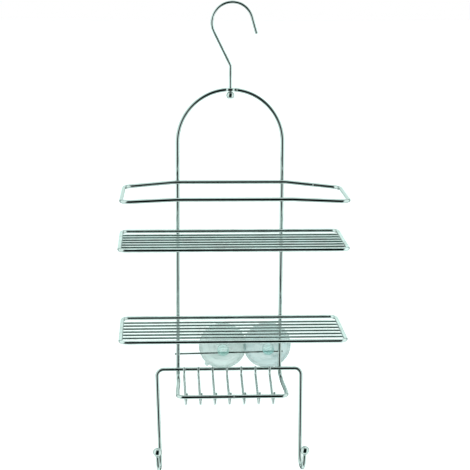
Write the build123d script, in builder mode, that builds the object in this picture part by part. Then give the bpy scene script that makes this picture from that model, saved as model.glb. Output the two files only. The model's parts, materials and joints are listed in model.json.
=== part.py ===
"""Hanging wire shower caddy: a swivelling rail hook carries a welded wire frame with a bottle
rail, two shelves, a soap dish, a pair of side hooks and two suction cups.

Millimetres. +Z is up, +Y points to the wall, +X is to the user's right. The origin is where the
swivel axis meets the hook's inner surface, which rests on the shower arm.
"""
import os
from math import asin, atan2, cos, degrees, radians, sin, sqrt, tan

from build123d import *

os.makedirs("parts", exist_ok=True)

# Wire stock and fits
frame_wire = 5.0         # frame, rims, bottle rail and side hooks
grid_wire = 3.0          # shelf grid and soap dish
cup_wire_stock = 2.5     # cross wire that carries the suction cups
hook_wire = 4.0          # rail hook
swivel_ball_size = 10.6
side_ball_size = 12.0    # balls on the side hooks' tips
weld_sink = 0.3          # depth one wire is pressed into another at a weld
running_gap = 0.08       # radial clearance of a wire in its hole
part_gap = 0.3           # air between bodies that do not run on each other
edge_round = 0.3         # broken edge on cut wire ends

# Rail hook
hook_radius = 27.2       # centreline radius of the hook's arc
hook_offset = 2.2        # the arc's centre lies this far to the right of the swivel axis
hook_drop = 81.8         # from the origin down to the corner above the shank
hook_corner_radius = 8.0
tip_flare = 16.0         # outward lean of the tip, degrees
tip_length = 22.9
tip_round = 1.0
rivet_radius = 0.7 * hook_wire
rivet_height = 0.25 * hook_wire
rivet_gap = 0.1          # play under the ball's seat

# Main frame
upright_spacing = 142.0  # between the uprights' centrelines
apex_drop = 113.9        # from the origin down to the arch's centreline
eye_length = 13.0
eye_width = 9.2
eye_press = 0.5          # depth to which the wire is pressed flat above and below at the eye
eye_round = 1.2
dish_level = -511.3      # centreline height of the soap dish's sides and front bar
dish_depth = 102.2       # uprights to front bar
dish_width = 145.4       # between the side wires' centrelines at the front
frame_bend_radius = 9.0

# Shelves
shelf_width = 300.0      # over the rim wire
shelf_reach = 123.9      # uprights to the front rim's centreline
shelf_corner_radius = 9.5
upper_shelf_level = -306.7
lower_shelf_level = -429.0
grid_count = 6
grid_pitch = 14.9
grid_setback = 24.5      # front rim to the first grid wire
grid_step_down = 1.4     # grid wires sit this far below the rim's centreline
grid_bite = 0.3          # how far a grid wire's end runs into the rim

# Bottle rail
rail_level = -238.9      # centreline height at the back
rail_front_level = -240.9
rail_width = 297.2       # over the rail wire
rail_shift = 1.2         # the rail's ends sit this far to the right
rail_kink_past = 4.0     # upright to the bend just outside it
rail_wing_reach = 24.7   # uprights to the rear corners' bend
rail_end_droop = 3.1     # the front corners sit this much lower than the front's middle
rail_left_droop = 2.5    # drop of the left rear corner
rail_right_droop = 4.6
rail_left_tuck = 2.0     # the left rear corner is this much nearer the middle than the front one
rail_right_tuck = 0.0
rail_corner_radius = 12.0
rail_kink_radius = 22.0
rail_front_kink_radius = 90.0

# Suction cups and their cross wire
cup_wire_level = -482.2
cup_wire_rise = 2.6      # the right end is this much higher than the left end
cup_wire_overhang = 2.0  # stub past each upright
cup_diameter = 67.0
cup_overlap = 4.0        # the right cup's lip lies this far over the left cup's lip
right_cup_room = 5.4     # from the right cup's boss to the upright, along the wire
cup_axis_rise = 3.7      # the cup's axis passes this far above the cross wire
cup_boss = 16.2
cup_boss_depth = 8.5
cup_boss_wall = 1.75     # material in front of the cross wire
cup_waist = 12.6         # diameter where the skirt meets the boss
cup_waist_step = 1.5
cup_knob = 10.4
cup_knob_length = 5.0
cup_knob_round = 2.0
cup_height = 30.0        # knob face to wall face
cup_skirt = 7.3          # height of the skirt where it is three fifths of the cup's radius
cup_hollow = 9.3         # depth of the hollow on the wall side
cup_lip = 0.9            # thickness of the thin lip
cup_land = cup_overlap + 0.8   # width of the flat lip
cup_dimple = 3.0         # radius of the flat at the hollow's centre
tab_width = 6.5
tab_reach = 3.6
tab_root = 1.5           # how far a tab runs into the lip
tab_round = 2.0
left_tab_angle = 230
right_tab_angle = 295

# Side hooks
side_bar_level = -503.4
side_hook_spacing = 201.2
left_toe_in = 4.2        # each leg's lean inward over its height
right_toe_in = -0.6
side_hook_drop = 141.4   # bar to the bottom of the hooks, centrelines
side_hook_depth = 25.6
side_hook_flat = 0.1     # half the straight length between a hook's two bends
side_hook_rise = 29.4    # from the hooks' bottom up to the balls' centres
side_hook_splay = 2.6
side_tip_lean = 1.6
side_bend_radius = 9.0

# Soap dish wires
dish_wire_count = 7
dish_back_margin = 11.4  # upright to the outermost wires at the bar, on average
dish_front_margin = 14.35
dish_back_shift = -3.1   # the row of wires sits a little left of centre
dish_front_shift = -3.7
dish_nub = 4.2           # each wire's upper end above the bar's centreline
dish_shoulder = 7.0      # bar's centreline down to the bend where a wire turns forward
dish_shoulder_radius = 5.0
dish_sag = 12.2          # the wires' lowest bend, below the front bar's centreline
dish_v_radius = 2.6
dish_end_rise = 4.1      # cut end above the front bar's centreline
dish_end_lean = 1.4      # each upturned end leans to the right

# Places that follow from the sizes above
upright_x = upright_spacing / 2
weld_plane = -(frame_wire - weld_sink)
apex_level = -apex_drop
eye_height = frame_wire - 2 * eye_press
eye_underside = apex_level - eye_height / 2
ball_level = eye_underside - part_gap - swivel_ball_size / 2
dish_front_y = -dish_depth


def bent(points, radii):
    """Straight wire between the points with a tangent bend at each inner point."""
    here = Vector(*points[0])
    for middle, after, radius in zip(points[1:-1], points[2:], radii):
        corner = Vector(*middle)
        back = (here - corner).normalized()
        ahead = (Vector(*after) - corner).normalized()
        half_angle = radians(back.get_angle(ahead)) / 2
        setback = radius / tan(half_angle)
        start, end = corner + back * setback, corner + ahead * setback
        crown = corner + (back + ahead).normalized() * (radius / sin(half_angle) - radius)
        if (start - here).length > 1e-4:
            Line(here, start)
        ThreePointArc(start, crown, end)
        here = end
    if (Vector(*points[-1]) - here).length > 1e-4:
        Line(here, points[-1])


def round_section(path, diameter):
    """Circle of the wire's diameter, square to the start of the path."""
    with BuildSketch(Plane(origin=path @ 0, z_dir=path % 0)) as section:
        Circle(diameter / 2)
    return section.sketch


def finish(name, part):
    part.label = name
    export_step(part, f"parts/{name}.step")


# Rail hook: the arc over the shower arm, a slanted side, and a plumb shank with a riveted end
arc_level = -sqrt((hook_radius - hook_wire / 2) ** 2 - hook_offset ** 2)
corner_to_arc = sqrt((hook_drop + arc_level) ** 2 + hook_offset ** 2)
slant = asin(hook_radius / corner_to_arc) - asin(hook_offset / corner_to_arc)
flare = radians(tip_flare)


def on_arc(across, up):
    """Point on the hook's centreline, in parts of its radius from the arc's centre."""
    return (hook_offset + hook_radius * across, 0, arc_level + hook_radius * up)


arc_start = on_arc(-cos(slant), -sin(slant))
arc_end = on_arc(cos(flare), sin(flare))
tip_end = (arc_end[0] + tip_length * sin(flare), 0, arc_end[2] - tip_length * cos(flare))
seat_radius = rivet_radius + part_gap
seat_mouth = sqrt((swivel_ball_size / 2) ** 2 - seat_radius ** 2)
rivet_level = ball_level - seat_mouth + rivet_height

with BuildPart() as hanging_hook:
    with BuildLine() as hook_path:
        bent([(0, 0, rivet_level), (0, 0, -hook_drop), arc_start], [hook_corner_radius])
        ThreePointArc(arc_start, on_arc(0, 1), arc_end)
        Line(arc_end, tip_end)
    hook_line = hook_path.wire()
    sweep(sections=round_section(hook_line, hook_wire), path=hook_line)
    fillet(hanging_hook.edges().filter_by(GeomType.CIRCLE).sort_by_distance(tip_end)[0], tip_round)
    with Locations((0, 0, rivet_level)):
        Cylinder(rivet_radius, rivet_height, align=(Align.CENTER, Align.CENTER, Align.MAX))
    fillet(hanging_hook.edges().filter_by(GeomType.CIRCLE).sort_by(Axis.Z)[0], rivet_height / 2)
finish("hanging_hook", hanging_hook.part)

# Swivel ball: drilled through, with a seat below for the rivet that carries it
with BuildPart() as swivel_ball:
    with Locations((0, 0, ball_level)):
        Sphere(swivel_ball_size / 2)
        Cylinder(hook_wire / 2 + running_gap, 2 * swivel_ball_size, mode=Mode.SUBTRACT)
    with Locations((0, 0, rivet_level + rivet_gap)):
        Cylinder(seat_radius, swivel_ball_size, align=(Align.CENTER, Align.CENTER, Align.MAX),
                 mode=Mode.SUBTRACT)
finish("swivel_ball", swivel_ball.part)

# Main frame: one loop of wire, arched at the top, bent forward at the bottom for the soap dish
with BuildPart() as main_frame:
    with BuildSketch(Plane.XY.offset(apex_level)):
        Ellipse(eye_length / 2, eye_width / 2)
    extrude(amount=eye_height / 2, both=True)
    fillet(main_frame.faces().filter_by(Axis.Z).edges(), eye_round)
    half_front = dish_width / 2
    with BuildLine() as frame_path:
        ThreePointArc(
            (0, 0, apex_level),
            (upright_x * sin(radians(45)), 0, apex_level - upright_x * (1 - cos(radians(45)))),
            (upright_x, 0, apex_level - upright_x),
        )
        bent(
            [(upright_x, 0, apex_level - upright_x), (upright_x, 0, dish_level),
             (upright_x, dish_front_y * 0.3, dish_level)],
            [frame_bend_radius],
        )
        Spline(
            (upright_x, dish_front_y * 0.3, dish_level), (half_front, dish_front_y * 0.8, dish_level),
            tangents=[(0, -1, 0), (0, -1, 0)],
        )
        bent(
            [(half_front, dish_front_y * 0.8, dish_level), (half_front, dish_front_y, dish_level),
             (0, dish_front_y, dish_level)],
            [frame_bend_radius],
        )
    frame_line = frame_path.wire()
    sweep(sections=round_section(frame_line, frame_wire), path=frame_line)
    mirror(about=Plane.YZ)
    with Locations((0, 0, apex_level)):
        with Locations((0, 0, (eye_height + frame_wire) / 2), (0, 0, -(eye_height + frame_wire) / 2)):
            Box(eye_length - 2 * eye_round, eye_width, frame_wire, mode=Mode.SUBTRACT)
        Cylinder(hook_wire / 2 + running_gap, frame_wire * 2, mode=Mode.SUBTRACT)
finish("main_frame", main_frame.part)

# Bottle rail: straight across the uprights, wings angled forward, ends drooping a little
rail_half = (rail_width - frame_wire) / 2
rail_kink = upright_x + rail_kink_past


def rail_points(side, tuck, droop):
    """Bend points of one half of the rail, from the middle of its back to the middle of its front."""
    end = rail_shift + side * rail_half
    return [
        (0, weld_plane, rail_level), (side * rail_kink, weld_plane, rail_level),
        (end - side * tuck, -rail_wing_reach, rail_level - droop),
        (end, -shelf_reach, rail_front_level - rail_end_droop),
        (side * rail_kink, -shelf_reach, rail_front_level), (0, -shelf_reach, rail_front_level),
    ]


rail_ends = (rail_points(-1, rail_left_tuck, rail_left_droop),
             rail_points(1, rail_right_tuck, rail_right_droop))
with BuildPart() as bottle_rail:
    for points in rail_ends:
        with BuildLine() as rail_path:
            bent(points, [rail_kink_radius, rail_corner_radius, rail_corner_radius,
                          rail_front_kink_radius])
        rail_line = rail_path.wire()
        sweep(sections=round_section(rail_line, frame_wire), path=rail_line)
finish("bottle_rail", bottle_rail.part)

# Shelves: a rounded rim welded in front of the uprights and a grid of lighter wires across it
rim_x = (shelf_width - frame_wire) / 2
grid_half = rim_x - sqrt((frame_wire / 2) ** 2 - grid_step_down ** 2) + grid_bite


def shelf_rim(level):
    with BuildPart() as rim:
        with BuildLine() as rim_path:
            bent(
                [(0, weld_plane, level), (rim_x, weld_plane, level), (rim_x, -shelf_reach, level),
                 (0, -shelf_reach, level)],
                [shelf_corner_radius] * 2,
            )
        rim_line = rim_path.wire()
        sweep(sections=round_section(rim_line, frame_wire), path=rim_line)
        mirror(about=Plane.YZ)
    return rim.part


def grid_rod(level, index):
    y = -shelf_reach + grid_setback + index * grid_pitch
    with BuildPart() as rod:
        with Locations((0, y, level - grid_step_down)):
            Cylinder(grid_wire / 2, 2 * grid_half, rotation=(0, 90, 0))
    return rod.part


for shelf, level in (("upper", upper_shelf_level), ("lower", lower_shelf_level)):
    finish(f"{shelf}_shelf_rim", shelf_rim(level))
    for index in range(grid_count):
        finish(f"{shelf}_shelf_wire_{index + 1}", grid_rod(level, index))

# Cross wire for the suction cups, welded behind the uprights
cup_wire_y = (frame_wire + cup_wire_stock) / 2 - weld_sink
cup_wire_half = upright_x + frame_wire / 2 + cup_wire_overhang
cup_wire_slope = cup_wire_rise / (2 * cup_wire_half)
cup_wire_turn = -degrees(atan2(cup_wire_rise, 2 * cup_wire_half))
cup_wire_length = sqrt((2 * cup_wire_half) ** 2 + cup_wire_rise ** 2)

with BuildPart() as cup_wire:
    with Locations((0, cup_wire_y, cup_wire_level)):
        Cylinder(cup_wire_stock / 2, cup_wire_length, rotation=(0, 90 + cup_wire_turn, 0))
    chamfer(cup_wire.edges().filter_by(GeomType.CIRCLE), edge_round)
finish("cup_wire", cup_wire.part)


cup_spacing = cup_diameter - cup_overlap
right_cup_x = upright_x - (frame_wire + cup_boss) / 2 - right_cup_room
left_cup_x = right_cup_x - cup_spacing
right_cup_forward = cup_lip + 1.3 * part_gap


def suction_cup(x, forward, tab_angle):
    """Soft moulded cup: knob and boss on the cross wire, a skirt with a thin lip and a pull tab."""
    wire_z = cup_wire_level + cup_wire_slope * x
    axis_z = wire_z + cup_axis_rise
    boss_face = cup_wire_y - cup_wire_stock / 2 - cup_boss_wall - forward
    knob_face = boss_face - cup_knob_length
    wall = knob_face + cup_height
    boss_back = boss_face + cup_boss_depth
    rim_r, boss_r, knob_r, waist_r = cup_diameter / 2, cup_boss / 2, cup_knob / 2, cup_waist / 2
    # half section: x is the radius, y runs along the cup's axis towards the wall
    half_plane = Plane(origin=(x, 0, axis_z), x_dir=(1, 0, 0), z_dir=(0, 0, 1))
    with BuildPart() as cup:
        with BuildSketch(half_plane):
            with BuildLine():
                Polyline((0, knob_face), (knob_r, knob_face), (knob_r, boss_face),
                         (boss_r, boss_face), (boss_r, boss_back),
                         (waist_r, boss_back + cup_waist_step))
                Spline((waist_r, boss_back + cup_waist_step), (0.6 * rim_r, wall - cup_skirt),
                       (rim_r - cup_land, wall - cup_lip))
                Polyline((rim_r - cup_land, wall - cup_lip), (rim_r, wall - cup_lip), (rim_r, wall),
                         (rim_r - cup_land, wall))
                Spline((rim_r - cup_land, wall), (0.5 * rim_r, wall - 0.7 * cup_hollow),
                       (cup_dimple, wall - cup_hollow))
                Polyline((cup_dimple, wall - cup_hollow), (0, wall - cup_hollow), (0, knob_face))
            make_face()
        revolve(axis=Axis((x, 0, axis_z), (0, 1, 0)))
        round_edges = cup.edges().filter_by(GeomType.CIRCLE).sort_by(Axis.Y)
        fillet(round_edges[0], cup_knob_round)
        with BuildSketch(Plane(origin=(x, wall - part_gap, axis_z), x_dir=(1, 0, 0),
                               z_dir=(0, -1, 0))):
            with Locations(Rot(0, 0, tab_angle)):
                with Locations((rim_r + (tab_reach - tab_root) / 2, 0)):
                    RectangleRounded(tab_reach + tab_root, tab_width, tab_round)
        extrude(amount=cup_lip)
        with Locations((x, cup_wire_y, wire_z)):
            Cylinder(cup_wire_stock / 2 + running_gap, 3 * cup_boss,
                     rotation=(0, 90 + cup_wire_turn, 0), mode=Mode.SUBTRACT)
    return cup.part


finish("suction_cup_left", suction_cup(left_cup_x, 0, left_tab_angle))
finish("suction_cup_right", suction_cup(right_cup_x, right_cup_forward, right_tab_angle))

# Side hooks: one wire from ball to ball, its bar lying in the crook of the frame's bends
side_foot = side_bar_level - side_hook_drop
side_front = weld_plane - side_hook_depth
side_ball_level = side_foot + side_hook_rise


def side_points(side, toe_in):
    """Bend points of one side hook, from the bar's corner out to the ball."""
    top = side_hook_spacing / 2
    foot = top - toe_in
    return [
        (side * top, weld_plane, side_bar_level),
        (side * foot, weld_plane, side_foot),
        (side * (foot + side_hook_splay), side_front, side_foot),
        (side * (foot + side_hook_splay + side_tip_lean), side_front, side_ball_level),
    ]


left_hook = side_points(-1, left_toe_in)
right_hook = side_points(1, right_toe_in)
u_radius = side_hook_depth / 2 - side_hook_flat

with BuildPart() as side_hook_wire:
    with BuildLine() as side_path:
        bent(left_hook[::-1] + right_hook,
             [u_radius, u_radius, side_bend_radius, side_bend_radius, u_radius, u_radius])
    side_line = side_path.wire()
    sweep(sections=round_section(side_line, frame_wire), path=side_line)
finish("side_hook_wire", side_hook_wire.part)


def side_ball(points):
    """Ball with a blind seat for the end of the wire."""
    centre, below = Vector(*points[3]), Vector(*points[2])
    with BuildPart() as tip_ball:
        with Locations(centre):
            Sphere(side_ball_size / 2)
        with Locations(Plane(origin=centre, z_dir=below - centre)):
            Cylinder(frame_wire / 2, side_ball_size, align=(Align.CENTER, Align.CENTER, Align.MIN),
                     mode=Mode.SUBTRACT)
    return tip_ball.part


finish("side_hook_ball_left", side_ball(left_hook))
finish("side_hook_ball_right", side_ball(right_hook))

# Soap dish wires: hung on the bar's front, sloping forward to a tight bend up behind the front bar
wire_gap = (frame_wire + grid_wire) / 2 - weld_sink
dish_back_y = weld_plane - wire_gap
dish_back_top = side_bar_level + dish_nub
dish_back_shoulder = side_bar_level - dish_shoulder
dish_low = dish_level - dish_sag
dish_end_top = dish_level + dish_end_rise
dish_end_y = dish_front_y + wire_gap


def dish_wire(place):
    """One wire of the dish; place runs from -1 for the leftmost to 1 for the rightmost."""
    back = dish_back_shift + place * (upright_x - dish_back_margin)
    front = dish_front_shift + place * (dish_width / 2 - dish_front_margin)
    with BuildPart() as wire:
        with BuildLine() as wire_path:
            bent(
                [(back, dish_back_y, dish_back_top), (back, dish_back_y, dish_back_shoulder),
                 (front, dish_end_y, dish_low), (front + dish_end_lean, dish_end_y, dish_end_top)],
                [dish_shoulder_radius, dish_v_radius],
            )
        wire_line = wire_path.wire()
        sweep(sections=round_section(wire_line, grid_wire), path=wire_line)
    return wire.part


for index in range(dish_wire_count):
    finish(f"soap_dish_wire_{index + 1}", dish_wire(2 * index / (dish_wire_count - 1) - 1))
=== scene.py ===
# %% [markdown]
# # A hanging wire shower caddy
#
# The caddy is bent and welded from chromed steel wire. A rail hook goes over the shower arm, and
# the frame hangs from the hook's shank by a drilled eye, with a small ball below it. The frame
# carries a bottle rail, two shelves, a soap dish, two side hooks and a cross wire with two clear
# suction cups.
#
# The wires come from the CAD model with their true sizes, so they are kept as they are and only get
# their finish here. What the CAD model leaves plain is added: the weld beads, the butt welds, the
# plating that gathers round each ball's neck, and the soft moulded suction cups.

# %% Load the frame
import json
from math import cos, pi, radians, sin

import bmesh
import bpy
from mathutils import Matrix, Vector


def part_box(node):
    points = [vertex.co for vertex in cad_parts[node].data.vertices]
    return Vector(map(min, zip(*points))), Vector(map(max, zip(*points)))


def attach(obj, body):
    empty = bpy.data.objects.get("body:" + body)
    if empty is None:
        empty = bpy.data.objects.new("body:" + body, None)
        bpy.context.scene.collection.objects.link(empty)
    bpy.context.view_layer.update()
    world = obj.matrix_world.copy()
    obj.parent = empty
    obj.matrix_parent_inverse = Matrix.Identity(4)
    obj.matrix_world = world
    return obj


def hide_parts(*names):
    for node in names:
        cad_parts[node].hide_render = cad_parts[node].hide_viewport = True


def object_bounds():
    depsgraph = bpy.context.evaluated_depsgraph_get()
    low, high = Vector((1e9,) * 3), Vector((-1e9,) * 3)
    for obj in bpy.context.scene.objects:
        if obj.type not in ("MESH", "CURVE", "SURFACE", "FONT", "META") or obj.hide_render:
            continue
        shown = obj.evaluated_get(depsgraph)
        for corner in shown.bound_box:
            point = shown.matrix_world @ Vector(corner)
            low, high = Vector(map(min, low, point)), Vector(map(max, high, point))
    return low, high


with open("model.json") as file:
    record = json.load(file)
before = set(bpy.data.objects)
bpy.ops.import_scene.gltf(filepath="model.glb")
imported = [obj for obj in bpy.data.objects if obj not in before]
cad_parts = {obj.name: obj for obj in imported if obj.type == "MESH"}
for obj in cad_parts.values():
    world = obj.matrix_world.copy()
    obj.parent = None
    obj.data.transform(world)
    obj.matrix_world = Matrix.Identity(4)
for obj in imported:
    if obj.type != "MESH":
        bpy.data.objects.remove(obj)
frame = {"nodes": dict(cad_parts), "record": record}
cad_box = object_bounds()
nodes = frame["nodes"]
MM = 0.001
scene = bpy.context.scene

# %% [markdown]
# ## Camera
#
# A caddy of this height is best seen from about two metres, a little above the middle, through a
# long lens, so that the wires stay nearly parallel. The lens is 106 mm on a 36 mm sensor. The
# camera could be aimed with a constraint, but the export drops those, so its turn is worked out
# from the way it looks and from a very small roll.


# %% Camera
def look_along(forward, roll):
    """Rotation that looks along a direction, with a small roll of the camera to the right."""
    ahead = Vector(forward).normalized()
    right = ahead.cross(Vector((0, 0, 1))).normalized()
    up = right.cross(ahead)
    turned_right = right * cos(roll) + up * sin(roll)
    turned_up = up * cos(roll) - right * sin(roll)
    return Matrix((turned_right, turned_up, -ahead)).transposed().to_4x4()


lens = bpy.data.cameras.new("camera")
lens.sensor_width = 36.0
lens.lens = 106.43
lens.clip_start, lens.clip_end = 0.05, 60.0
camera = bpy.data.objects.new("camera", lens)
scene.collection.objects.link(camera)
camera_place = Vector((-0.0940, -1.8611, 0.0835))
camera_way = Vector((0.0532, 0.9766, -0.2083))
camera.matrix_world = Matrix.Translation(camera_place) @ look_along(camera_way, roll=0.006)
scene.camera = camera
print("camera at", [round(v, 3) for v in camera_place])

# %% [markdown]
# ## Colours and nodes
#
# Three helpers are used by every finish. One turns a hex colour, as a paint chart gives it, into
# the linear numbers that a shader works in. One adds a node with its settings, its colour stops and
# its links, so that each finish below reads as a list of what it is made of. The last starts an
# empty finish.


# %% Helpers for colours and nodes
def linear(hex_colour):
    """sRGB hex to a linear RGBA colour."""
    channels = [int(hex_colour[i:i + 2], 16) / 255 for i in (1, 3, 5)]
    return tuple(c / 12.92 if c <= 0.04045 else ((c + 0.055) / 1.055) ** 2.4
                 for c in channels) + (1.0,)


def add(tree, kind, settings=None, stops=(), **inputs):
    """Add one node. An input is a number, a colour or a link, which is given as (node, output).

    Inputs go by name, with _ for a space, or by number, as i0, i1 and so on. The stops are the
    (place, hex colour) pairs of a colour ramp.
    """
    node = tree.nodes.new(kind)
    for key, value in (settings or {}).items():
        setattr(node, key, value)
    for key, value in inputs.items():
        numbered = key[0] == "i" and key[1:].isdigit()
        socket = node.inputs[int(key[1:]) if numbered else key.replace("_", " ")]
        if isinstance(value, tuple) and hasattr(value[0], "outputs"):
            tree.links.new(value[0].outputs[value[1]], socket)
        else:
            socket.default_value = value
    if stops:
        band = node.color_ramp.elements
        while len(band) < len(stops):
            band.new(0.5)
        for element, (place, hex_colour) in zip(band, stops):
            element.position, element.color = place, linear(hex_colour)
    return node


def new_finish(name):
    """An empty finish, and its node tree."""
    finish = bpy.data.materials.new(name)
    finish.use_nodes = True
    finish.node_tree.nodes.clear()
    return finish, finish.node_tree


print("mid grey is", round(linear("#808080")[0], 3), "in linear light")

# %% [markdown]
# ## Studio
#
# Chrome has no colour of its own to speak of: it shows the room. In a white tent its wires would
# vanish, so the side of the tent where the camera stands is left open and dark. The tent could be
# modelled and lit, but it is quicker to paint it on the world, by direction. The opening is a
# rounded block, taller than it is wide and leaning a little, so a wire that lies across shows a
# broad dark line, an upright shows a thin one, and a ball shows a dark dot.

# %% The tent's open side
world = bpy.data.worlds.new("white tent")
world.use_nodes = True
scene.world = world
tent = world.node_tree
tent.nodes.clear()
direction = add(tent, "ShaderNodeTexCoord")
from_opening = add(tent, "ShaderNodeVectorMath", {"operation": "SUBTRACT"},
                   i0=(direction, "Generated"), i1=(0.0, -1.0, 0.03))
leaning = add(tent, "ShaderNodeVectorRotate", {"rotation_type": "Y_AXIS"},
              Vector=(from_opening, "Vector"), Angle=-0.17)
scaled = add(tent, "ShaderNodeVectorMath", {"operation": "MULTIPLY"},
             i0=(leaning, "Vector"), i1=(0.72, 0.40, 0.51))
squared = add(tent, "ShaderNodeVectorMath", {"operation": "MULTIPLY"},
              i0=(scaled, "Vector"), i1=(scaled, "Vector"))
off_opening = add(tent, "ShaderNodeVectorMath", {"operation": "LENGTH"}, i0=(squared, "Vector"))
opening = add(tent, "ShaderNodeValToRGB", i0=(off_opening, "Value"), stops=[
    (0.0, "#06100F"), (0.176, "#0E1D1A"), (0.281, "#E0F1EE")])
print("opening painted with", len(tent.nodes), "nodes")

# %% [markdown]
# Behind the caddy the tent is grey, except for the bright backdrop itself, and that draws a fine
# outline round each wire. Low down there is a dark gap round the backdrop, which gives the chrome
# its lines when it is seen from behind. The camera itself sees plain white.

# %% The tent behind the caddy
toward_wall = add(tent, "ShaderNodeSeparateXYZ", Vector=(direction, "Generated"))
side_cloth = [(0.48, "#FFFFFF"), (0.60, "#7D8B88"), (0.74, "#8C9A97")]
behind_high = add(tent, "ShaderNodeValToRGB", i0=(toward_wall, "Y"), stops=side_cloth + [
    (0.85, "#FFFFFF"), (0.95, "#E1E7E5")])
behind_low = add(tent, "ShaderNodeValToRGB", i0=(toward_wall, "Y"), stops=side_cloth + [
    (0.84, "#141F1D"), (0.935, "#141F1D"), (0.965, "#E1E7E5")])
above_level = add(tent, "ShaderNodeMapRange", Value=(toward_wall, "Z"), From_Min=-0.06,
                  From_Max=0.04)
backdrop = add(tent, "ShaderNodeMix", {"data_type": "RGBA"}, i0=(above_level, "Result"),
               i6=(behind_low, "Color"), i7=(behind_high, "Color"))
painted = add(tent, "ShaderNodeMix", {"data_type": "RGBA", "blend_type": "MULTIPLY"}, i0=1.0,
              i6=(opening, "Color"), i7=(backdrop, 2))
tent_light = add(tent, "ShaderNodeBackground", Color=(painted, 2), Strength=1.55)
plain_white = add(tent, "ShaderNodeBackground", Color=(1, 1, 1, 1), Strength=1.0)
seen = add(tent, "ShaderNodeLightPath")
chosen = add(tent, "ShaderNodeMixShader", i0=(seen, "Is Camera Ray"),
             i1=(tent_light, "Background"), i2=(plain_white, "Background"))
add(tent, "ShaderNodeOutputWorld", Surface=(chosen, "Shader"))
scene.view_settings.view_transform = "Standard"
print("tent painted with", len(tent.nodes), "nodes")

# %% [markdown]
# The pale floor lies below the lowest hook. It is there for the camera and for soft light only, so
# it doesn't hide the opening from the chrome. One wide softbox stands high on the left.

# %% Floor and softbox
floor_mesh = bpy.data.meshes.new("floor")
floor_shape = bmesh.new()
bmesh.ops.create_grid(floor_shape, x_segments=1, y_segments=1, size=12.0)
floor_shape.to_mesh(floor_mesh)
floor_shape.free()
floor = bpy.data.objects.new("floor", floor_mesh)
floor.location.z = cad_box[0][2] - 0.06
floor.visible_glossy = False
floor.visible_transmission = False
scene.collection.objects.link(floor)
pale, pale_tree = new_finish("pale studio floor")
matte = add(pale_tree, "ShaderNodeBsdfPrincipled", Base_Color=linear("#F4F6F5"), Roughness=0.9,
            Emission_Color=(1, 1, 1, 1), Emission_Strength=0.35)
add(pale_tree, "ShaderNodeOutputMaterial", Surface=(matte, "BSDF"))
floor_mesh.materials.append(pale)

softbox = bpy.data.lights.new("softbox", "AREA")
softbox.shape, softbox.size, softbox.size_y, softbox.energy = "RECTANGLE", 1.6, 1.2, 12.0
softbox_stand = bpy.data.objects.new("softbox", softbox)
scene.collection.objects.link(softbox_stand)
softbox_place = Vector((-1.6, -1.2, 1.6))
softbox_aim = Vector((0, 0, -0.3))
softbox_stand.matrix_world = Matrix.Translation(softbox_place) @ look_along(
    softbox_aim - softbox_place, roll=0.0)
softbox_stand.visible_glossy = False
print("floor at", round(floor.location.z, 3), "softbox at", list(softbox_place))

# %% [markdown]
# ## Bright chrome plate
#
# The wire is drawn steel, welded, then plated with nickel and chromium. Chromium reflects a little
# over half of the light, slightly less red than green. Plating is never quite flat: it carries a
# soft ripple about a millimetre across, and its gloss wanders a little with the current it was
# plated at. Both come from noise in the object's own millimetres. Chromium is a metal, so its
# metallic value is 1 and its IOR is left alone.


# %% Chrome plate
def chrome_plate(name, base="#C2C9C7", ripple_mm=1.1, gloss=(0.03, 0.07), ripple_depth=0.02):
    """Bright chromium over nickel, with the slight ripple and wandering gloss of plated wire."""
    finish, tree = new_finish(name)
    place = add(tree, "ShaderNodeTexCoord")
    wander = add(tree, "ShaderNodeTexNoise", Vector=(place, "Object"), Scale=60.0, Detail=2.0)
    gloss_band = add(tree, "ShaderNodeMapRange", Value=(wander, "Fac"), From_Min=0.3,
                     From_Max=0.7, To_Min=gloss[0], To_Max=gloss[1])
    skin = add(tree, "ShaderNodeTexNoise", Vector=(place, "Object"), Scale=1 / (ripple_mm * MM),
               Detail=1.5, Roughness=0.4)
    ripple = add(tree, "ShaderNodeBump", Strength=0.25, Distance=ripple_depth * MM,
                 Height=(skin, "Fac"))
    tint = add(tree, "ShaderNodeValToRGB", i0=(wander, "Fac"), stops=[
        (0.35, base), (0.7, "#C6CBC8")])
    metal = add(tree, "ShaderNodeBsdfPrincipled", Base_Color=(tint, "Color"), Metallic=1.0,
                Roughness=(gloss_band, "Result"), Normal=(ripple, "Normal"))
    add(tree, "ShaderNodeOutputMaterial", Surface=(metal, "BSDF"))
    return finish


heavy_chrome = chrome_plate("chrome plate on heavy wire")
print(heavy_chrome.name, "has", len(heavy_chrome.node_tree.nodes), "nodes")

# %% [markdown]
# The plating isn't equal on all pieces, and the eye tells them apart by it. The balls are like dark
# mirrors. The heavy frame wire is bright with a fine ripple, and the rail hook is softer, so its
# lines are less sharp. The shelves are lighter and a little satin, the soap dish's wires are duller
# again, and the cross wire is the darkest. Plating over a weld is rougher than over wire, and a
# butt weld that was ground flush is satin and pale.

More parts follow.
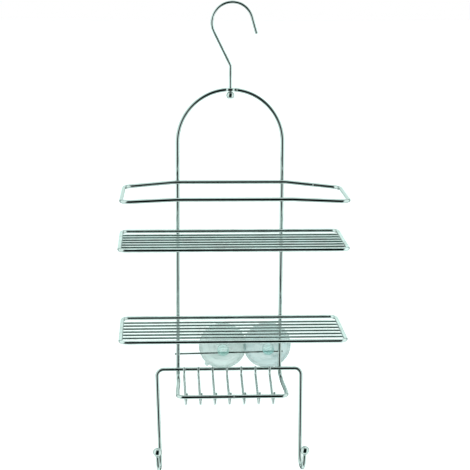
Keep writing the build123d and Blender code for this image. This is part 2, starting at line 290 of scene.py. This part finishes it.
# %% Finishes of the other plated pieces
fine_chrome = chrome_plate("chrome plate on fine wire", base="#BFC8C5", ripple_mm=0.8)
shelf_chrome = chrome_plate("chrome plate on the shelves", base="#DCE4E2", gloss=(0.15, 0.21))
shelf_fine_chrome = chrome_plate("chrome plate on the shelf wires", base="#D0E0DC", ripple_mm=0.8,
                                 gloss=(0.12, 0.18))
dish_chrome = chrome_plate("chrome plate on the soap dish's wires", base="#DCE1E0", ripple_mm=0.8,
                           gloss=(0.24, 0.32))
cross_chrome = chrome_plate("chrome plate on the cross wire", base="#7F8986", ripple_mm=0.8,
                            gloss=(0.10, 0.16))
hook_chrome = chrome_plate("chrome plate on the rail hook", base="#DDE3E2", gloss=(0.16, 0.22))
ball_chrome = chrome_plate("chrome plate on turned balls", base="#C8CDCB", ripple_mm=2.0,
                           gloss=(0.02, 0.04), ripple_depth=0.01)
weld_chrome = chrome_plate("chrome plate over welds", base="#BCC4C1", ripple_mm=0.6,
                           gloss=(0.10, 0.24), ripple_depth=0.08)
ground_weld = chrome_plate("ground butt weld", base="#DCE1DF", ripple_mm=0.5, gloss=(0.38, 0.50),
                           ripple_depth=0.05)
print("finishes:", [finish.name for finish in bpy.data.materials])

# %% [markdown]
# The soap dish's wires end in bends under the front bar. There their colour is painted near white,
# as a painted reflection, and their plating is rougher. Both are blended in by place: they set in
# below the bar over three millimetres, and near the bar over five.

# %% Painted reflection on the front bends of the soap dish's wires
HEAVY, CROSS = 2.5 * MM, 1.25 * MM   # radius of the heavy wire and of the cross wire
frame_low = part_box("main_frame")[0]
dish_bar_y, dish_bar_z = frame_low.y + HEAVY, frame_low.z + HEAVY

dish_tree = dish_chrome.node_tree
dish_metal = next(node for node in dish_tree.nodes if node.type == "BSDF_PRINCIPLED")
dish_place = add(dish_tree, "ShaderNodeTexCoord")
dish_axes = add(dish_tree, "ShaderNodeSeparateXYZ", Vector=(dish_place, "Object"))
below_bar = add(dish_tree, "ShaderNodeMapRange", Value=(dish_axes, "Z"),
                From_Min=dish_bar_z - 2.7 * MM, From_Max=dish_bar_z - 5.7 * MM)
near_bar = add(dish_tree, "ShaderNodeMapRange", Value=(dish_axes, "Y"),
               From_Min=dish_bar_y + 15.2 * MM, From_Max=dish_bar_y + 10.2 * MM)
# painted reflection: the share of the pale colour on the bends, by place
painted_reflection = add(dish_tree, "ShaderNodeMath", {"operation": "MULTIPLY"}, i0=(below_bar, "Result"),
            i1=(near_bar, "Result"))
bare_tint = dish_metal.inputs["Base Color"].links[0].from_node
bare_gloss = dish_metal.inputs["Roughness"].links[0].from_node
# painted reflection: the near-white colour #F4F8F7 is mixed into the bends' colour
painted_reflection_tint = add(dish_tree, "ShaderNodeMix", {"data_type": "RGBA"}, i0=(painted_reflection, "Value"),
                  i6=(bare_tint, "Color"), i7=linear("#F4F8F7"))
rougher_bend_gloss = add(dish_tree, "ShaderNodeMix", i0=(painted_reflection, "Value"), i2=(bare_gloss, "Result"),
                   i3=0.5)
dish_tree.links.new(painted_reflection_tint.outputs[2], dish_metal.inputs["Base Color"])
dish_tree.links.new(rougher_bend_gloss.outputs[0], dish_metal.inputs["Roughness"])
print("frost below", round(dish_bar_z / MM - 2.7, 1), "mm")

# %% Put the finishes on the wires and balls
by_slot = {"heavy_chrome": heavy_chrome, "fine_chrome": fine_chrome, "hook_chrome": hook_chrome,
           "ball_chrome": ball_chrome}
by_name = {"shelf_rim": shelf_chrome, "shelf_wire": shelf_fine_chrome,
           "soap_dish_wire": dish_chrome, "cup_wire": cross_chrome}
slot_of = {part["node"]: part["material_slot"] for part in frame["record"]["subparts"]}
plated = [name for name in nodes if slot_of[name] in by_slot]
for name in plated:
    own = [finish for words, finish in by_name.items() if words in name]
    for held in nodes[name].material_slots:
        held.material = own[0] if own else by_slot[slot_of[name]]
print("plated nodes:", len(plated))

# %% [markdown]
# ## Where the wires meet
#
# Every weld sits where two wires touch, so its place can be read from the boxes of the CAD pieces.
# The shelf wires butt against the rims' sides. The rims, the rail, the cross wire and the side
# hooks' bar cross the two uprights, and the soap dish's wires cross two bars.

# %% Places of the welds
UPRIGHT = 71 * MM       # from the middle to each upright's centre line
SUNK = 0.15 * MM        # a bead's middle lies this far inside the face that it sits on
welds = []              # place and half sizes of each bead


def middle(node):
    """Middle of a node's box."""
    low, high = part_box(node)
    return (low + high) / 2


def bead(place, x, y, z):
    """Note a bead at a place, with its half sizes in millimetres."""
    welds.append((place, (x * MM, y * MM, z * MM)))


cross = middle("cup_wire")
cross_low, cross_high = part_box("cup_wire")
slope = (cross_high.z - cross_low.z - 2 * CROSS) / (cross_high.x - cross_low.x)
rail_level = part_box("bottle_rail")[1].z - HEAVY
side_bar_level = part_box("side_hook_wire")[1].z - HEAVY

for shelf in ("upper", "lower"):
    for number in range(1, 7):
        low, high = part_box(f"{shelf}_shelf_wire_{number}")
        along, level = (low.y + high.y) / 2, (low.z + high.z) / 2
        for end in (low.x + 0.35 * MM, high.x - 0.35 * MM):
            bead((end, along, level), 0.8, 1.9, 1.8)
    for side in (-1, 1):
        bead((side * UPRIGHT, -HEAVY + SUNK, middle(f"{shelf}_shelf_rim").z), 2.3, 0.9, 2.3)
for side in (-1, 1):
    bead((side * UPRIGHT, -HEAVY + SUNK, rail_level), 2.3, 0.9, 2.3)
    bead((side * UPRIGHT, HEAVY - SUNK, cross.z + side * UPRIGHT * slope), 1.9, 0.8, 1.5)
    bead((side * UPRIGHT, -HEAVY + SUNK, side_bar_level), 2.3, 0.9, 2.3)
print("welds on the shelves, the uprights and the bars:", len(welds))

# %% [markdown]
# A soap dish wire isn't square to its bars, so the middle of its box is not where it crosses them.
# Its place at the back comes from the top of its mesh, and its place at the front from the end.

# %% Places of the soap dish's welds
for number in range(1, 8):
    wire = [vertex.co for vertex in nodes[f"soap_dish_wire_{number}"].data.vertices]
    highest, foremost = max(v.z for v in wire), min(v.y for v in wire)
    at_back = [v.x for v in wire if v.z > highest - 2 * MM]
    at_front = [v.x for v in wire if v.y < foremost + 0.6 * MM]
    back_y = max(v.y for v in wire) - SUNK
    bead((sum(at_back) / len(at_back), back_y, side_bar_level), 1.5, 0.8, 1.5)
    bead((sum(at_front) / len(at_front), dish_bar_y + HEAVY - SUNK, dish_bar_z), 1.5, 0.8, 1.5)
print("welds:", len(welds))

# %% [markdown]
# ## Weld beads
#
# A resistance weld squeezes a little molten steel out round the contact, and the plating covers it.
# There are dozens, alike but never equal, so they are made by one Geometry Nodes tree: a point at
# each contact carries the bead's half sizes, and the tree puts a small lump on every point, turns
# it a little at random and roughens it. Twenty faces a lump would look cut, so each has eighty.


# %% Tree that puts a bead on every point
def plain_object(name, mesh, *materials):
    """An object in the scene with its materials."""
    piece = bpy.data.objects.new(name, mesh)
    scene.collection.objects.link(piece)
    for material in materials:
        mesh.materials.append(material)
    return piece


def evaluated_mesh(piece, name):
    """A plain mesh of a piece, with its modifiers applied."""
    bpy.context.view_layer.update()
    evaluated = piece.evaluated_get(bpy.context.evaluated_depsgraph_get())
    made = bpy.data.meshes.new_from_object(evaluated)
    made.name = name
    return made


def bead_tree():
    """Bead on each point. Inputs: the spread of its size, the roughness of its skin, the seed."""
    tree = bpy.data.node_groups.new("weld beads", "GeometryNodeTree")
    new_socket = tree.interface.new_socket
    new_socket("Geometry", in_out="INPUT", socket_type="NodeSocketGeometry")
    new_socket("Size spread", in_out="INPUT", socket_type="NodeSocketFloat")
    new_socket("Skin", in_out="INPUT", socket_type="NodeSocketFloat")
    new_socket("Seed", in_out="INPUT", socket_type="NodeSocketInt")
    new_socket("Geometry", in_out="OUTPUT", socket_type="NodeSocketGeometry")
    given = add(tree, "NodeGroupInput")
    lump = add(tree, "GeometryNodeMeshIcoSphere", Radius=1.0, Subdivisions=2)
    half_sizes = add(tree, "GeometryNodeInputNamedAttribute", {"data_type": "FLOAT_VECTOR"},
                     Name="half sizes")
    smallest = add(tree, "ShaderNodeMath", {"operation": "SUBTRACT"}, i0=1.0,
                   i1=(given, "Size spread"))
    largest = add(tree, "ShaderNodeMath", {"operation": "ADD"}, i0=1.0, i1=(given, "Size spread"))
    factor = add(tree, "FunctionNodeRandomValue", {"data_type": "FLOAT"}, i2=(smallest, "Value"),
                 i3=(largest, "Value"), Seed=(given, "Seed"))
    sized = add(tree, "ShaderNodeVectorMath", {"operation": "SCALE"},
                i0=(half_sizes, "Attribute"), Scale=(factor, 1))
    turn = add(tree, "FunctionNodeRandomValue", {"data_type": "FLOAT_VECTOR"},
               i0=(-0.15, -0.15, -0.15), i1=(0.15, 0.15, 0.15), Seed=(given, "Seed"))
    beads = add(tree, "GeometryNodeInstanceOnPoints", Points=(given, "Geometry"),
                Instance=(lump, "Mesh"), Rotation=(turn, "Value"), Scale=(sized, "Vector"))
    real = add(tree, "GeometryNodeRealizeInstances", Geometry=(beads, "Instances"))
    skin = add(tree, "ShaderNodeTexNoise", Scale=700.0, Detail=1.0)
    centred = add(tree, "ShaderNodeVectorMath", {"operation": "SUBTRACT"},
                  i0=(skin, "Color"), i1=(0.5, 0.5, 0.5))
    push = add(tree, "ShaderNodeVectorMath", {"operation": "SCALE"}, i0=(centred, "Vector"),
               Scale=(given, "Skin"))
    moved = add(tree, "GeometryNodeSetPosition", Geometry=(real, "Geometry"),
                Offset=(push, "Vector"))
    smooth = add(tree, "GeometryNodeSetShadeSmooth", Geometry=(moved, "Geometry"))
    plated = add(tree, "GeometryNodeSetMaterial", Geometry=(smooth, "Geometry"),
                 Material=weld_chrome)
    add(tree, "NodeGroupOutput", Geometry=(plated, "Geometry"))
    return tree


def apply_tree(name, mesh, tree, values):
    """Run a tree on a mesh and keep the result as a plain mesh."""
    carrier = plain_object(name + " points", mesh)
    modifier = carrier.modifiers.new("tree", "NODES")
    modifier.node_group = tree
    for socket in tree.interface.items_tree:
        if socket.in_out == "INPUT" and socket.name in values:
            modifier[socket.identifier] = values[socket.name]
    made = evaluated_mesh(carrier, name)
    bpy.data.objects.remove(carrier)
    return made


# %% Make the beads
points = bpy.data.meshes.new("weld places")
points.from_pydata([place for place, _ in welds], [], [])
half_sizes = points.attributes.new("half sizes", "FLOAT_VECTOR", "POINT")
for entry, (_, size) in zip(half_sizes.data, welds):
    entry.vector = size
bead_mesh = apply_tree("weld_beads", points, bead_tree(),
                       {"Size spread": 0.12, "Skin": 0.25 * MM, "Seed": 7})
weld_beads = plain_object("weld_beads", bead_mesh)
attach(weld_beads, "caddy")
print("bead faces:", len(bead_mesh.polygons), "materials:", len(bead_mesh.materials))

# %% [markdown]
# ## Turned shapes
#
# Rings, necks and cups are all round about a line, so one helper spins a half section about it. The
# section is a list of (radius, distance along the line). Where the radius is zero the section ends
# in one point, which closes the pole.


# %% Spin a half section
def spin_section(shape, section, centre, along, angles, reach=None, closed=False):
    """Add a section, spun at the given angles, to a bmesh.

    reach(angle, index) gives extra radius. A closed section joins its last point to its first.
    """
    along = Vector(along).normalized()
    helper = Vector((1, 0, 0)) if abs(along.x) < 0.9 else Vector((0, 0, 1))
    across = (helper - along * helper.dot(along)).normalized()
    up = along.cross(across)
    rings = []
    for index, (radius, distance) in enumerate(section):
        base = Vector(centre) + along * distance
        if radius == 0:
            rings.append([shape.verts.new(base)])
            continue
        ring = []
        for angle in angles:
            r = radius + (reach(angle, index) if reach else 0)
            ring.append(shape.verts.new(base + (across * cos(angle) + up * sin(angle)) * r))
        rings.append(ring)
    following = rings[1:] + rings[:1] if closed else rings[1:]
    for first, second in zip(rings, following):
        for i in range(len(angles)):
            j = (i + 1) % len(angles)
            corners = [first[i % len(first)], first[j % len(first)],
                       second[j % len(second)], second[i % len(second)]]
            corners = list(dict.fromkeys(corners))
            if len(corners) > 2:
                shape.faces.new(corners)


def mesh_of(shape, name):
    """Turn a closed bmesh into a smooth mesh whose faces point outwards."""
    bmesh.ops.recalc_face_normals(shape, faces=shape.faces)
    for face in shape.faces:
        face.smooth = True
    mesh = bpy.data.meshes.new(name)
    shape.to_mesh(mesh)
    shape.free()
    return mesh


def even_angles(count):
    """Angles that divide a full turn evenly."""
    return [2 * pi * i / count for i in range(count)]


print("quarter turns:", [round(angle, 2) for angle in even_angles(4)])

# %% [markdown]
# ## Butt welds and ball necks
#
# Each closed loop of wire has one place where its ends were welded together and ground. It shows as
# a narrow, duller collar: near the eye on the arch, on the rail's right wing, and in the middle of
# the soap dish's front bar. Where a wire enters a ball, braze and plating fill the corner with a
# small round neck. Both are spun sections.

# %% Collars and necks
collar_section = [(2.30, -0.95), (2.52, -0.85), (2.60, -0.45), (2.64, 0.0), (2.60, 0.4),
                  (2.53, 0.85), (2.30, 0.95)]
neck_section = [(2.30, 5.9), (2.45, 7.2), (2.58, 6.75), (2.80, 6.2), (3.15, 5.75), (3.65, 5.25),
                (3.60, 4.75), (2.30, 4.8)]
ARCH_TOP = -113.9 * MM                              # the arch's centre line at its eye
WING_BEND = Vector((75.0, -4.7, -238.9)) * MM       # where the rail's right wing begins
WING_WAY = Vector((72.3, -20.0, -4.6)).normalized()
BALL = 6.0 * MM                                     # radius of a side hook's ball


def spin_mm(shape, section_mm, centre, along):
    """Spin a closed section that is given in millimetres."""
    section = [(radius * MM, distance * MM) for radius, distance in section_mm]
    spin_section(shape, section, centre, along, even_angles(28), closed=True)


seams = bmesh.new()
off_level = radians(83)
arch_out = Vector((cos(off_level), 0, sin(off_level)))
arch_way = Vector((sin(off_level), 0, -cos(off_level)))
spin_mm(seams, collar_section, Vector((0, 0, ARCH_TOP - UPRIGHT)) + UPRIGHT * arch_out, arch_way)
spin_mm(seams, collar_section, WING_BEND + WING_WAY * 39 * MM, WING_WAY)
spin_mm(seams, collar_section, Vector((2.0 * MM, dish_bar_y, dish_bar_z)), Vector((1, 0, 0)))
for side, lean in (("left", 1.6), ("right", -1.6)):
    ball = middle(f"side_hook_ball_{side}")
    ball.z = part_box(f"side_hook_ball_{side}")[1].z - BALL
    spin_mm(seams, neck_section, ball, Vector((lean, 0, -29.4)))
seam_mesh = mesh_of(seams, "seams_and_necks")
seams_and_necks = plain_object("seams_and_necks", seam_mesh, ground_weld, weld_chrome)
for face in seam_mesh.polygons:
    face.material_index = int(face.center.z < frame_low.z - 20 * MM)   # the necks are the low ones
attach(seams_and_necks, "caddy")
print("collar and neck faces:", len(seam_mesh.polygons))

# %% [markdown]
# ## Clear soft PVC
#
# The cups are injection moulded from plasticised PVC. It is clear with a slight green tint, and its
# plasticiser gives the surface a soft, not quite glassy gloss. The walls are thin and a little
# milky, so most of the light goes straight through and the rest scatters: that is set as alpha
# here, which also stays free of grain. At the lip's edge a denser, darker tint is painted: painted
# shade for the light that the edge bends away. The knob is solid and shows the compound's own
# green. The cup's mesh says where these are, with the attributes "edge" (the painted edge shade)
# and "core". Moulded PVC bends light at about 1.53. Faint flow marks run through it, and it waves
# a little where it shrank.


# %% Clear soft PVC
def soft_pvc(name, body, flow, knob, thin=0.38, dense=0.53):
    """Clear moulding compound with a slight tint, soft gloss, flow marks and painted shade on its
    edge.

    thin and dense are its alpha between and in the flow marks.
    """
    finish, tree = new_finish(name)
    place = add(tree, "ShaderNodeTexCoord")
    along_flow = add(tree, "ShaderNodeMapping", Vector=(place, "Object"), Scale=(0.35, 1.0, 1.6))
    marks = add(tree, "ShaderNodeTexNoise", Vector=(along_flow, "Vector"), Scale=75.0, Detail=3.0,
                Roughness=0.5, Distortion=0.8)
    tint = add(tree, "ShaderNodeValToRGB", i0=(marks, "Fac"), stops=[(0.34, flow), (0.66, body)])
    # painted shade: the lip's edge gets a denser, darker tint for the light that the edge bends
    # away
    edge = add(tree, "ShaderNodeAttribute", {"attribute_name": "edge"})
    edge_shaded_tint = add(tree, "ShaderNodeMix", {"data_type": "RGBA"}, i0=(edge, "Fac"),
                i6=(tint, "Color"), i7=linear("#C2D9D4"))
    core = add(tree, "ShaderNodeAttribute", {"attribute_name": "core"})
    cored = add(tree, "ShaderNodeMix", {"data_type": "RGBA"}, i0=(core, "Fac"), i6=(edge_shaded_tint, 2),
                i7=linear(knob))
    density = add(tree, "ShaderNodeMapRange", Value=(marks, "Fac"), From_Min=0.3, From_Max=0.7,
                  To_Min=dense, To_Max=thin)
    # painted shade: the alpha rises to 0.52 at the lip's edge
    solid = add(tree, "ShaderNodeMix", i0=(edge, "Fac"), i2=(density, "Result"), i3=0.52)
    dull = add(tree, "ShaderNodeMapRange", Value=(marks, "Fac"), From_Min=0.3, From_Max=0.7,
               To_Min=0.14, To_Max=0.24)
    wave = add(tree, "ShaderNodeTexNoise", Vector=(place, "Object"), Scale=220.0, Detail=1.0)
    waved = add(tree, "ShaderNodeBump", Strength=0.25, Distance=0.12 * MM, Height=(wave, "Fac"))
    soft = add(tree, "ShaderNodeBsdfPrincipled", Base_Color=(cored, 2),
               Roughness=(dull, "Result"), IOR=1.53, Alpha=(solid, "Result"),
               Normal=(waved, "Normal"))
    add(tree, "ShaderNodeOutputMaterial", Surface=(soft, "BSDF"))
    return finish


left_pvc = soft_pvc("clear soft PVC", "#C6DAD6", "#AAC6C0", "#B6F0E6")
right_pvc = soft_pvc("clear soft PVC, second shot", "#BFD8D7", "#A4C3C3", "#A6E6E0")
print("PVC finishes:", left_pvc.name, "/", right_pvc.name)

# %% [markdown]
# ## Suction cups
#
# Each cup is one moulding: a knob to pull by, a boss with a hole for the cross wire, a skirt, and a
# thin flat lip with a small pull tab. It is spun from its half section. The section carries what
# the mould leaves: the gate's dimple in the knob, a groove under it, two shallow steps on the
# skirt, a bead at the edge of the lip, and sealing ridges inside. The tab is the lip pulled
# outwards over a few degrees, so the ring is divided more finely there. The hole is cut last.


# %% Sizes and section of a cup, in millimetres
CUP_RADIUS = 33.5
TAB_HALF_WIDTH, TAB_LENGTH = 3.25, 3.55
LIP_START = CUP_RADIUS - 1.2                        # the tab is pulled out of the section from here
EDGE_START, EDGE_WIDTH = CUP_RADIUS - 1.3, 0.9      # where the painted edge shade sets in on the lip
TAB_EDGE_SHADE = 0.15                                     # share of the painted edge shade on the tab
KNOB_DEPTH, KNOB_FADE = 6.5, 2.0                    # where the knob's own green ends
DRILL_RADIUS, DRILL_REACH = 1.33, 16.0


def cup_section(r):
    """Half section from the knob's middle, over the lip, to the hollow's middle. The wall face is
    at 30."""
    outside = [
        (0, 0.35), (0.9, 0.32), (1.25, 0.05), (1.7, 0.0), (3.1, 0.0), (4.1, 0.35), (4.85, 1.0),
        (5.2, 2.0), (5.2, 3.6), (4.95, 4.1), (4.9, 4.7), (5.3, 5.0), (7.4, 5.02), (7.9, 5.25),
        (8.1, 5.8), (8.1, 8.0), (8.1, 11.0), (8.1, 13.0), (7.8, 13.6), (6.9, 14.3), (6.6, 15.0),
        (7.2, 15.9), (9.2, 17.2), (12.2, 18.9), (12.5, 18.85), (12.9, 19.0), (13.4, 19.4),
        (16.5, 20.9), (19.6, 22.5), (19.9, 22.45), (20.3, 22.65), (20.8, 23.1), (23.4, 24.8),
        (26.0, 26.9), (27.6, 28.3), (28.5, 29.0), (29.1, 29.12), (31.6, 29.12), (r - 1.1, 29.12),
        (r - 0.75, 29.1), (r - 0.35, 29.16), (r - 0.08, 29.35), (r, 29.6), (r - 0.12, 29.9)]
    inside = [
        (r - 0.4, 30.0), (31.0, 30.0), (30.6, 29.94), (30.3, 29.86), (29.9, 29.86), (29.5, 29.95),
        (29.0, 30.0), (28.5, 29.9), (27.2, 29.1), (24.5, 27.5), (24.1, 27.15), (23.7, 27.0),
        (20.2, 25.0), (16.7, 23.3), (12.0, 21.7), (7.5, 20.95), (3.2, 20.7), (0, 20.7)]
    return outside + inside


print("points in the section:", len(cup_section(CUP_RADIUS)))


# %% Spin, drill and mark a cup
def spun_cup(name, centre, tab):
    """The cup's mesh, with its tab at an angle that is measured from +X towards +Z."""
    section_mm = cup_section(CUP_RADIUS)
    section = [(radius * MM, depth * MM) for radius, depth in section_mm]
    lip = {index for index, (radius, _) in enumerate(section_mm) if radius > LIP_START}

    def pulled(angle, index):
        # the ring runs from +X towards -Z, since the spin's line points at the wall
        gap = (-angle - tab) % (2 * pi)
        gap = min(gap, 2 * pi - gap)
        sideways = CUP_RADIUS * sin(min(gap, pi / 2))
        if index not in lip or sideways >= TAB_HALF_WIDTH:
            return 0
        return TAB_LENGTH * MM * (1 - (sideways / TAB_HALF_WIDTH) ** 4) ** 0.5

    at_tab = -tab % (2 * pi)
    angles = even_angles(120) + [
        (at_tab + radians(step * 0.22)) % (2 * pi) for step in range(-28, 29)]
    shape = bmesh.new()
    spin_section(shape, section, centre, (0, 1, 0), sorted({round(a, 6) for a in angles}),
                 reach=pulled)
    return mesh_of(shape, name)


def drill(cup, place):
    """Cut the hole for the cross wire through the cup's boss."""
    radius, reach = DRILL_RADIUS * MM, DRILL_REACH * MM
    bit = bmesh.new()
    spin_section(bit, [(0, -reach), (radius, -reach), (radius, reach), (0, reach)], place,
                 (1, 0, slope), even_angles(32))
    cutter = plain_object("wire drill", mesh_of(bit, "wire drill"))
    hole = cup.modifiers.new("wire hole", "BOOLEAN")
    hole.operation, hole.solver, hole.object = "DIFFERENCE", "EXACT", cutter
    drilled = evaluated_mesh(cup, cup.name)
    cup.modifiers.clear()
    cup.data = drilled
    bpy.data.objects.remove(cutter)


def mark(mesh, name, share_at):
    """Store a share from 0 to 1 on every vertex, for the finish to read."""
    shares = mesh.attributes.new(name, "FLOAT", "POINT")
    for vertex, entry in zip(mesh.vertices, shares.data):
        entry.value = max(0.0, min(1.0, share_at(vertex.co)))


def moulded_cup(name, node, tab_degrees, finish):
    """A cup in the CAD cup's place, with its tab and its wire hole."""
    low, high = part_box(node)
    centre = Vector(((low.x + high.x) / 2, low.y, high.z - CUP_RADIUS * MM))
    cup = plain_object(name, spun_cup(name, centre, radians(tab_degrees)), finish)
    drill(cup, Vector((centre.x, cross.y, cross.z + (centre.x - cross.x) * slope)))

    # painted shade: the share of the denser, darker edge on the lip, and a little on the tab
    def painted_edge_shade_at(place):
        off_axis = Vector((place.x - centre.x, 0, place.z - centre.z)).length / MM
        on_tab = off_axis >= CUP_RADIUS + 0.2
        return TAB_EDGE_SHADE if on_tab else (off_axis - EDGE_START) / EDGE_WIDTH

    def in_knob(place):
        return (KNOB_DEPTH - (place.y - centre.y) / MM) / KNOB_FADE

    mark(cup.data, "edge", painted_edge_shade_at)
    mark(cup.data, "core", in_knob)
    print(name, "faces:", len(cup.data.polygons), "centre", [round(v / MM, 2) for v in centre])
    return cup


# %% Put the cups in their places
for side, tab_degrees, finish in (("left", 230, left_pvc), ("right", 295, right_pvc)):
    cup = moulded_cup(f"cup_moulding_{side}", f"suction_cup_{side}", tab_degrees, finish)
    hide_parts(f"suction_cup_{side}")
    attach(cup, f"cup_{side}")
